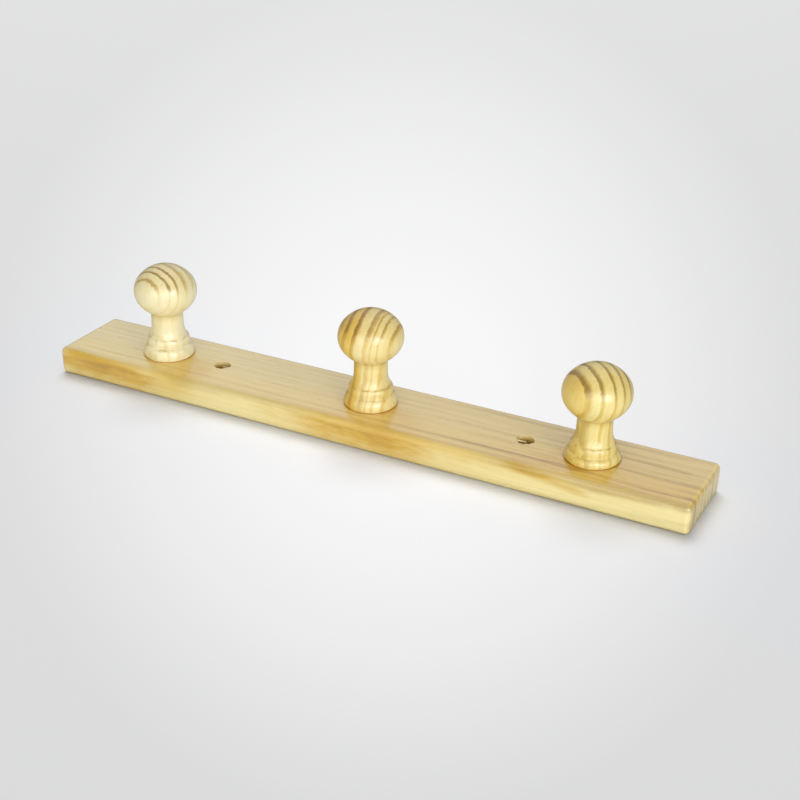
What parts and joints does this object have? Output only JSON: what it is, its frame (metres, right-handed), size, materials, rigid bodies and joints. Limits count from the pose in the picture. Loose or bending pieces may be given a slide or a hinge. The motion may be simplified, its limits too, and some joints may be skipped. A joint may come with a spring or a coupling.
{
  "type": "wall coat rack",
  "caption": "Straight pine board with rounded edges that carries a row of turned, ball-topped pegs for hanging coats, with sunk holes for wall screws between the pegs.",
  "frame": {"origin": "middle of the board's back face, where it lies on a table or meets the wall", "axes": "+X along the board, +Y across the board, +Z out of the wall along the pegs"},
  "size_m": [0.4, 0.054, 0.074],
  "materials": {
    "board_pine": "clear satin lacquer",
    "peg_pine": "clear gloss lacquer",
    "screw_steel": "zinc plated"
  },
  "bodies": {
    "root": {"backboard": "board_pine", "left_peg": "peg_pine", "middle_peg": "peg_pine", "right_peg": "peg_pine", "left_peg_screw": "screw_steel", "middle_peg_screw": "screw_steel", "right_peg_screw": "screw_steel"}
  },
  "joints": []
}
